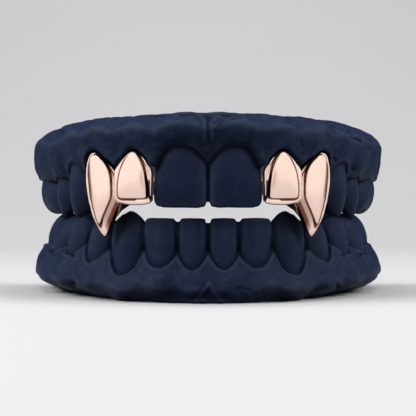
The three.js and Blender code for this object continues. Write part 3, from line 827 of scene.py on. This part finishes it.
def cap_solid(cap, backs, side, grow=0):
    """The outside of one cap, larger all round by grow where it is a cutter."""
    tooth = cap["tooth"]
    face, sunk = face_rings(cap)
    middle = ring_of(cap, "rim")[0].mean()
    rings = [(x, y, stand + grow, sink) for x, y, stand, sink in face]
    points = []
    for x, y, out, sink in rings + back_rings(cap, backs, sunk, grow):
        down = y / cap["height"]
        past = (down - CAP_FULLEST) / np.where(down < CAP_FULLEST, CAP_FULLEST, 1 - CAP_FULLEST)
        bow = np.where(down < CAP_FULLEST, cap["top_bow"], cap["tip_bow"]) * past**2
        across = x + np.clip(x - middle, -1, 1) * grow
        fall = y + grow * np.clip((down - 0.5) * 4, -1, 1)
        z = tooth["gum"] - CAP_GUM_GAP - fall
        ring = place(UPPER, tooth["middle"], side, across, out, z)
        ring[:, 1] += (bow + sink) * MM
        points.append(ring)
    return loft("cap", points)


def capped_tooth(cap):
    """The tooth under a cap, ground slim."""
    tooth = dict(cap["tooth"])
    tooth["middle"] += tooth["width"] * cap["centre"]
    tooth["width"] *= cap["slim"]
    tooth["stand"] = GROUND_STAND
    tooth["edge"] = tooth["gum"] - cap["filled"] * cap["height"]
    return tooth


# %% [markdown]
# The painted dark reflection of a cap is stored as a relief too, since the metal's material reads it as
# a hollow:
# full in the narrow step round the plate, part on the fang's facet, and nearly full on the wall
# behind that facet. On the outer side the plate hides the foot of the step, so the painted dark line is
# wider there.

# %% Where the metal is painted dark, as a painted dark reflection
# The painted dark reflection is stored as a hollow this many millimetres deep; the rest say where the
# painted dark line in the step starts and how wide it is.
PAINTED_SHADE_RELIEF = 0.08
GROOVE_REACH = 0.15
GROOVE_START = 0.03
GROOVE_FADE = 0.08


def painted_metal_shade(cap, backs):
    """How dark the metal is painted at each point of a cap's rings, as painted dark reflection."""
    width = cap["tooth"]["width"]
    rim_x, rim_y = ring_of(cap, "rim")
    plate_x, plate_y = ring_of(cap, "plate")
    edge = outline(cap["plate"]) * np.array([[width], [cap["height"]]])
    down = plate_y / cap["height"]
    hidden = fade(plate_x / width, 0, 20) * fade(down, 0.93, -12) * fade(down, 0.05, 9)
    reach = GROOVE_REACH + cap["hidden"] * hidden
    down = rim_y / cap["height"]
    inner = fade(-rim_x / width, 0, 5) * fade(down, 0.5, 9) * fade(down, 0.97, -20)
    depths = []
    for _, way, _ in FACE_RINGS:
        ring_x = plate_x + way * (rim_x - plate_x)
        ring_y = plate_y + way * (rim_y - plate_y)
        away = np.hypot(ring_x[:, None] - edge[0], ring_y[:, None] - edge[1]).min(axis=1) * (way > 0)
        groove = np.clip(away / GROOVE_START, 0, 1) * np.clip(1 - (away - reach) / GROOVE_FADE, 0, 1)
        # The facet, and the wall behind it, are painted darker, as painted dark reflection.
        painted_facet_shade = cap["painted_facet_shade"] + (cap["wall"] - cap["painted_facet_shade"]) * fade(way, 0.5, 5)
        depths.append(np.maximum(groove, painted_facet_shade * inner * (way > PLATE_END)))
    for _ in backs:
        depths.append(inner * cap["wall"])
    return np.concatenate(depths)


def store_values(mesh, values):
    """Stores a relief for each point of a mesh."""
    stored = mesh.attributes.new("relief", "FLOAT", "POINT")
    stored.data.foreach_set("value", values)


def store_painted_metal_shade(mesh, corners):
    """Stores the painted dark reflection as a hollow, found by the nearest corner of the two lofts."""
    depths = np.concatenate([painted_metal_shade(cap, backs) for cap, backs in CAPS])
    search = kdtree.KDTree(len(corners))
    for n, corner in enumerate(corners):
        search.insert(corner, n)
    search.balance()
    hollow = np.array([depths[search.find(v.co)[1]] for v in mesh.vertices])
    store_values(mesh, hollow * -PAINTED_SHADE_RELIEF)


# %% [markdown]
# The two caps of one side are cast in one piece. So the lofts are joined with a boolean, and the
# two ground teeth, a little larger than they are, are cut out of the result.

# %% The double caps
CAP_FIT = 0.25


def dress(thing, material):
    """Gives a piece its one material."""
    thing.data.materials.clear()
    thing.data.materials.append(material)


def double_cap(name, side):
    """Both caps of one side, joined and hollowed to sit on their teeth."""
    lateral, fang = (cap_solid(cap, backs, side) for cap, backs in CAPS)
    corners = [v.co.copy() for solid in (lateral, fang) for v in solid.data.vertices]
    modify(lateral, "BOOLEAN", object=fang, operation="UNION", solver="MANIFOLD")
    bpy.data.objects.remove(fang)
    for cap, _ in CAPS:
        hollow = crown(UPPER, capped_tooth(cap), side, CAP_FIT)
        modify(lateral, "BOOLEAN", object=hollow, operation="DIFFERENCE", solver="MANIFOLD")
        bpy.data.objects.remove(hollow)
    lateral.name = name
    # The painted dark reflection goes on the mesh as a relief.
    store_painted_metal_shade(lateral.data, corners)
    pick(lateral)
    bpy.ops.object.shade_smooth_by_angle(angle=math.radians(40))
    dress(lateral, gold)
    print(name, triangles(lateral), "triangles")
    return lateral


right_cap = double_cap("right_cap_polished", -1)
left_cap = double_cap("left_cap_polished", 1)

# %% [markdown]
# The gum of a jaw is one long body that runs round the arch. Its section starts at the base,
# bulges over the roots, rolls in to the neck of the teeth, crosses under them and comes down on
# the tongue side. Along the arch its edge rises round each tooth and dips between two teeth.

# %% Section of the gum
# In front: how far from the gum's edge to the base, then the shares of the base's inset, of the
# bulge and of the lip. Behind: how far, then the shares of the tooth's depth and of the wall.
GUM_FRONT = [
    (1, 1, 0, 0), (0.97, 0.8, 0.03, 0), (0.85, 0.25, 0.2, 0), (0.6, 0, 1, 0), (0.32, 0, 0.72, 0.3),
    (0.08, 0, 0.16, 1),
]
GUM_BACK = [(0, 0.5, 0), (0.04, 0.93, 0), (0.35, 1.06, 0), (0.85, 0, 1), (1, 0, 1)]
FRONT_POINTS = 22
BACK_POINTS = 12
GUM_LIP = 0.35
GUM_DIP = 1.0
CAP_LIP = 0.55
ROOT_SWELL = 0.33


def cap_top(cap, along):
    """The height of a cap's gum end at a place along the line, or very low where it isn't."""
    tooth = cap["tooth"]
    x, y = ring_of(cap, "rim")
    start, end = sorted((int(np.argmax(x)), int(np.argmin(x))))
    upper_part = np.r_[end : len(x), 0 : start + 1]
    order = np.argsort(x[upper_part])
    x = x[upper_part][order]
    y = y[upper_part][order]
    return tooth["gum"] - np.interp(along - tooth["middle"], x, y, left=99, right=99)


def tooth_at(row, edges, inside):
    """Which tooth a place along the line belongs to. A wider one reaches over its neighbour."""
    n = int(np.searchsorted(edges, inside, side="right") - 1)
    before = row[max(n - 1, 0)]["more"] if n else 0
    return n - 1 if before and inside < edges[n] + before else n


def gum_section(jaw, row, along, end, caps):
    """The gum's section at one place along the line: how far out and how high its points lie."""
    inside = min(along, end - 1e-6)
    edges = np.array([0] + [tooth["middle"] + tooth["width"] / 2 for tooth in row])
    n = tooth_at(row, edges, inside)
    tooth = row[n]
    q = (inside - tooth["middle"] - tooth["more"] / 2) / ((tooth["width"] + tooth["more"]) / 2)
    near = row[min(max(n + (1 if q > 0 else -1), 0), len(row) - 1)]
    # The gum's edge follows the tooth, or the cap on it.
    papilla = tooth["papillae"][0 if q < 0 else 1]
    line = tooth["gum"] + (papilla - tooth["gum"]) * abs(q) ** FESTOON
    if any(cap["tooth"] is tooth for cap in caps):
        line = max(papilla, *(float(cap_top(cap, np.array(inside))) for cap in caps))
    fall = (tooth["gum"] - line) / (tooth["gum"] - papilla)
    lip = GUM_LIP - (GUM_LIP + GUM_DIP) * fall
    nearest = min((abs(along - cap["tooth"]["middle"]) for cap in caps), default=99)
    lip = lip + (CAP_LIP - lip) * min(max(2 - nearest / 3.2, 0), 1)
    # Behind the last tooth the section shrinks to the heel.
    share = min(max((along - end) / HEEL, 0), 1)
    line = line + (jaw["height"] - line) * 0.45 * share**1.3
    if share > 0:
        lip = lip * (1 - share)
    root = ROOT_SWELL * (math.cos(math.pi * q) if share == 0 else -1)
    far, insets, bulges = np.array(jaw["trim"], float).T
    bulge = jaw["bulge"] * float(smooth_curve(far, bulges, along / jaw["row"]))
    inset = BASE_INSET * float(smooth_curve(far, insets, along / jaw["row"]))
    depth = tooth["depth"] + (near["depth"] - tooth["depth"]) / 2 * abs(q)
    front = []
    for up, a, b, c in GUM_FRONT:
        swell = root * math.sin(math.pi * min(up / 0.9, 1)) ** 1.2
        front.append((b * bulge + c * lip - a * inset + swell, line + (jaw["height"] - line) * up))
    front.append((lip - GUM_LIP, line))
    back = [(-d * depth - w * WALL, line + (jaw["height"] - line) * up) for up, d, w in GUM_BACK]
    out, up = (
        np.concatenate([
            smooth_curve(np.arange(len(part)), [point[axis] for point in part],
                         np.linspace(0, len(part) - 1, points))
            for part, points in ((front, FRONT_POINTS), (back, BACK_POINTS))
        ])
        for axis in (0, 1)
    )
    return -WALL / 2 + (out + WALL / 2) * (1 - 0.3 * share**1.5), up


# %% [markdown]
# The sections come close together, and their small differences would show as ripples. So each
# line along the arch is evened out with its neighbours: not at the gum's edge, which has to keep
# to the teeth, and more and more towards the base.

# %% The gum as a solid
STATION_STEP = 0.45
HEEL_SECTIONS = (0.3, 0.55, 0.75, 0.9, 1.0)
PASSES = np.array(
    [14] * 4 + [12, 11, 10, 9, 8, 7, 6, 5, 4, 3, 2, 2, 1, 1, 0, 0, 0, 0]
    + [0, 1, 2, 4, 6, 8, 10, 12, 14, 14, 14, 14]
)


def soften(table):
    """Evens out a table of sections along the arch, all but the heel."""
    heel = len(HEEL_SECTIONS)
    for turn in range(max(PASSES)):
        padded = np.concatenate([table[1:2], table, table[-1:]])
        even = (padded[:-2] + padded[2:]) / 4 + table / 2
        keep = PASSES > turn
        table[:-heel, keep] = even[:-heel, keep]


def gum_body(jaw, row, caps=()):
    """The gum of a whole jaw with its flat base."""
    end = sum(tooth["width"] for tooth in row)
    stations = np.linspace(0, end, int(end / STATION_STEP))
    stations = np.append(stations, end + HEEL * np.array(HEEL_SECTIONS))
    sections = [gum_section(jaw, row, along, end, caps) for along in stations]
    out, up = (np.array(table) for table in zip(*sections))
    soften(out)
    soften(up)
    left, right = (
        [place(jaw, along, side, 0, o, u) for along, o, u in zip(stations, out, up)] for side in (1, -1)
    )
    return loft("gum", right[:0:-1] + left)


# %% [markdown]
# A cast comes out of its mould in one piece. So gum and teeth are cut clear of the caps, joined,
# and turned into one skin by a voxel remesh, as a sculptor would before carving the fine forms.
# The gum, and every second tooth, are kept as search trees, which the carving will measure from.

# %% Cast the two jaws
VOXEL = 0.287 * MM
CAP_CLEAR = 0.14
TEETH_NEAR_CAPS = 4


def tree_of(things):
    """A search tree over several meshes."""
    corners = []
    faces = []
    for thing in things:
        start = len(corners)
        corners += [v.co.copy() for v in thing.data.vertices]
        faces += [[start + i for i in face.vertices] for face in thing.data.polygons]
    return BVHTree.FromPolygons(corners, faces)


def clear_of(thing, cutters):
    """Cuts a solid clear of the caps."""
    for cutter in cutters:
        modify(thing, "BOOLEAN", object=cutter, operation="DIFFERENCE", solver="MANIFOLD")


def cast(name, jaw, row, caps=()):
    """One jaw's cast as a single skin, and search trees of its gum and teeth for the carving."""
    gum = gum_body(jaw, row, [cap for cap, _ in caps])
    odd = []
    even = []
    for side in (-1, 1):
        cutters = [cap_solid(cap, backs, side, CAP_CLEAR) for cap, backs in caps]
        clear_of(gum, cutters)
        for n, tooth in enumerate(row):
            capped = [cap for cap, _ in caps if cap["tooth"] is tooth]
            made = crown(jaw, capped_tooth(capped[0]) if capped else tooth, side)
            if caps and not capped and n < TEETH_NEAR_CAPS:
                clear_of(made, cutters)
            (odd if (n + (side > 0)) % 2 else even).append(made)
        for cutter in cutters:
            bpy.data.objects.remove(cutter)
    kept = {"gum": tree_of([gum]), "odd": tree_of(odd), "even": tree_of(even)}
    pick(gum, *odd, *even)
    bpy.ops.object.join()
    gum.name = name
    modify(gum, "REMESH", mode="VOXEL", voxel_size=VOXEL)
    modify(gum, "SMOOTH", factor=0.5, iterations=4)
    print(name, triangles(gum), "triangles")
    return gum, kept


upper_stone, upper_parts = cast("upper_stone", UPPER, upper_row, CAPS)
lower_stone, lower_parts = cast("lower_stone", LOWER, lower_row)

# %% [markdown]
# Marks of the mould and the knife. A cast keeps the fold of skin above and below the front teeth,
# small pits from bubbles, and nicks where its base was trimmed. They are pressed into the finished
# skin, each along a short line.

# %% Tables of the marks
# Each mark: how high it stands (below zero: how deep it is cut) and how wide it is, in millimetres,
# then its line across and up, as it shows from the front at the distance of the front teeth.
UPPER["marks"] = [
    (0.25, 0.3, [(-1.25, 29.6), (-0.5, 28.5), (-0.4, 25.7)]),
    (0.28, 0.3, [(1.55, 29.6), (0.4, 28.3), (0.55, 25.8)]),
    (0.25, 0.4, [(1.9, 29.3), (0.95, 27.8)]),
    (-0.1, 0.3, [(0, 29.4), (0.05, 25.6)]),
    (0.25, 2.2, [(-8.5, 27.8), (-6.4, 28)]),
    (0.25, 2.0, [(6.2, 28), (8.4, 27.8)]),
    (-0.3, 0.2, [(-10.6, 29.6), (-8.8, 29.7), (-7, 29.6)]),
    (-0.3, 0.18, [(-4.4, 29.75), (-2.2, 29.8)]),
    (-0.3, 0.18, [(1.4, 29.6), (3.4, 29.7)]),
    (-0.45, 0.25, [(19.5, 28.3), (21.9, 27.2), (22.8, 26.1), (23.9, 25.7)]),
    (-0.45, 0.6, [(-24.6, 25.9), (-22.8, 27.1)]),
    (-0.45, 0.35, [(25.3, 24.7), (25.3, 24.6)]),
    (-0.35, 0.3, [(22.6, 21.3), (22.7, 21.2)]),
    (-0.12, 0.25, [(14.5, 25.7), (14.8, 24.9)]),
    (-0.12, 0.25, [(15.1, 23.9), (14.5, 23.5)]),
    (-0.25, 0.25, [(19.8, 22.9), (20, 22.7)]),
    (0.2, 0.8, [(-19, 27), (-19.6, 23.5)]),
    (0.2, 0.8, [(17.6, 27), (18.4, 24)]),
]
LOWER["marks"] = [
    (0.24, 0.32, [(0.15, 3.2), (-0.9, 2), (-2, 0.2)]),
    (0.24, 0.32, [(0.15, 3.2), (1, 2), (2.2, 0.3)]),
    (-0.1, 0.6, [(0.15, 1.9), (0.15, 0.2)]),
    (0.35, 0.8, [(4.4, 1.2), (6.3, 1.2)]),
    (-0.13, 0.22, [(4.2, 2.4), (5.4, 2.7), (6.6, 2.3)]),
    (-0.4, 0.32, [(23.9, 8.1), (23.9, 8)]),
    (-0.4, 0.32, [(24.6, 8.4), (24.6, 8.3)]),
    (-0.4, 0.35, [(-24.6, 8.5), (-24.6, 8.4)]),
    (-0.5, 0.35, [(20.2, 3.2), (20.6, 2.1)]),
    (-0.5, 0.4, [(-21.2, 3.4), (-20.7, 2.1)]),
    (-0.45, 0.35, [(18.6, 6.9), (18.6, 7.2)]),
    (-0.45, 0.35, [(21.2, 8.1), (21.2, 8.4)]),
    (-0.45, 0.35, [(-18.5, 6.9), (-18.5, 7.2)]),
    (-0.45, 0.35, [(-21.2, 8), (-21.2, 8.3)]),
    (0.2, 1.6, [(-12, 3), (-9, 2.6)]),
    (0.2, 1.6, [(10, 3.2), (13, 3.4)]),
]
MOUTH_MIDDLE = 15
MARKS_END = 8


def marks(points, normals, table):
    """How far the marks lift or cut each point, in millimetres."""
    x, y, z = (points / MM).T
    nearer = CAMERA_DISTANCE / (CAMERA_DISTANCE + y - ARCH_FRONT)
    seen = np.stack([x * nearer, (z - EYE_HEIGHT) * nearer + EYE_HEIGHT], axis=1)
    # Only the side that faces out of the mouth takes them.
    outward = np.stack([x, y - MOUTH_MIDDLE], axis=1)
    outward = outward / np.hypot(*outward.T)[:, None]
    facing = fade((normals[:, :2] * outward).sum(axis=1), 0.25, 4) * (y < MARKS_END)
    push = np.zeros(len(points))
    for height, width, line in table:
        away = np.full(len(points), 99.0)
        for start, end in zip(line, line[1:]):
            start = np.array(start)
            along = np.array(end) - start
            share = np.clip(((seen - start) @ along) / (along @ along), 0, 1)[:, None]
            away = np.minimum(away, np.hypot(*(seen - start - share * along).T))
        push += height * hill(away, width)
    return push * facing


print("marks:", len(UPPER["marks"]), "above and", len(LOWER["marks"]), "below")

# %% [markdown]
# Relief. The painted highlight on raised edges and the painted shade in hollows follow how far a point
# stands proud of the surface round it. So the surface is evened out over its edges a few times, and
# each point is compared with its even place.

# %% Relief of a skin
RELIEF_TURNS = 10


def skin(mesh):
    """The points of a mesh and the normals there."""
    points = np.zeros(len(mesh.vertices) * 3)
    normals = points.copy()
    mesh.vertices.foreach_get("co", points)
    mesh.vertex_normals.foreach_get("vector", normals)
    return points.reshape(-1, 3), normals.reshape(-1, 3)


def store_relief(mesh):
    """Stores how far each point stands proud of the surface round it, in millimetres."""
    points, normals = skin(mesh)
    ends = np.zeros(len(mesh.edges) * 2, int)
    mesh.edges.foreach_get("vertices", ends)
    start, end = ends.reshape(-1, 2).T
    count = np.bincount(ends, minlength=len(points))[:, None]
    even = points.copy()
    for _ in range(RELIEF_TURNS):
        total = np.zeros(even.shape)
        for axis in range(3):
            total[:, axis] += np.bincount(start, even[end, axis], len(points))
            total[:, axis] += np.bincount(end, even[start, axis], len(points))
        even = (even + total / count) / 2
    proud = ((points - even) * normals).sum(axis=1) / MM
    store_values(mesh, proud)
    print("relief from", round(float(proud.min()), 2), "to", round(float(proud.max()), 2))


# %% [markdown]
# Carving. Where gum meets tooth there is a fine deep crevice, and the gum's edge stands up round
# it as a soft roll. Where two teeth meet there is a narrow groove. Both are carved by distance:
# every point of the skin knows how far it is from the gum and from the teeth. At the back, where
# a cast is coarser, the rolls and the grooves grow.

# %% Carve the crevices and rolls
# The crevice's width, the roll's height and the groove's width, in front and behind.
UPPER.update(crevice=0.26, roll=(0.13, 0.28), groove=(0.3, 0.46))
LOWER.update(crevice=0.22, roll=(0.28, 0.28), groove=(0.44, 0.46))
CREVICE_DEPTH = 0.27
GROOVE_CUT = (0.33, 0.65)
ROLL_AT = 0.52
ROLL_WIDTH = 0.33
# Waves of the skin: how fine and how high.
SKIN_WAVES = ((190, 0.26), (560, 0.14), (1500, 0.05))
TOOTH_WAVES = 0.25
CAP_SPACE = 0.35
CAP_PRESS = -0.08


def distances(tree, points):
    """How far each point is from a surface."""
    return np.array([tree.find_nearest(Vector(p))[3] for p in points]) / MM


def carve(stone_cast, parts, jaw, caps=()):
    """Moves the skin along its normals to cut crevices and raise the gum's edge."""
    mesh = stone_cast.data
    points, normals = skin(mesh)
    to_gum, to_odd, to_even = (distances(parts[part], points) for part in ("gum", "odd", "even"))
    to_teeth = np.minimum(to_odd, to_even)
    on_gum = to_gum < to_teeth
    behind = fade(np.abs(points[:, 0]) / MM, 10, 1 / 8)
    lifted, gap, cut = (
        front + (back - front) * behind for front, back in (jaw["roll"], jaw["groove"], GROOVE_CUT)
    )
    crevice = hill(np.maximum(to_gum, to_teeth), jaw["crevice"])
    contact = hill(np.maximum(to_odd, to_even), gap) * (to_gum > 0.3)
    roll = np.where(on_gum, hill(to_teeth - ROLL_AT, ROLL_WIDTH), 0)
    push = lifted * roll - CREVICE_DEPTH * crevice - cut * contact
    for i, point in enumerate(points):
        soft = sum(noise.noise(Vector(point) * fineness) * high for fineness, high in SKIN_WAVES)
        push[i] += soft * (1 if on_gum[i] else TOOTH_WAVES)
    push += marks(points, normals, jaw["marks"]) * on_gum
    if caps:
        # Beside a cap the skin only gives way.
        beside = distances(tree_of(caps), points) < CAP_SPACE
        push = np.where(beside, np.minimum(push, CAP_PRESS), push)
    points += normals * push[:, None] * MM
    mesh.vertices.foreach_set("co", points.reshape(-1))
    mesh.update()
    print(stone_cast.name, "carved", round(float(push.min()), 2), round(float(push.max()), 2))
    store_relief(mesh)


carve(upper_stone, upper_parts, UPPER, (right_cap, left_cap))
carve(lower_stone, lower_parts, LOWER)

# %% Dress the casts in stone
for stone_cast in (upper_stone, lower_stone):
    pick(stone_cast)
    bpy.ops.object.shade_smooth()
    dress(stone_cast, stone)
    dull_things.objects.link(stone_cast)

# %% [markdown]
# Last, every piece is tied to the imported model: what it rides on, and which solid it stands for,
# which is hidden. Each row also names the finish of the record for that piece.

# %% Tie the pieces to the model
for piece, solid, finish in (
    (upper_stone, "upper_cast", "dental_stone"),
    (lower_stone, "lower_cast", "dental_stone"),
    (right_cap, "right_double_cap", "rose_gold"),
    (left_cap, "left_double_cap", "rose_gold"),
):
    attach(piece, "root")
    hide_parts(solid)
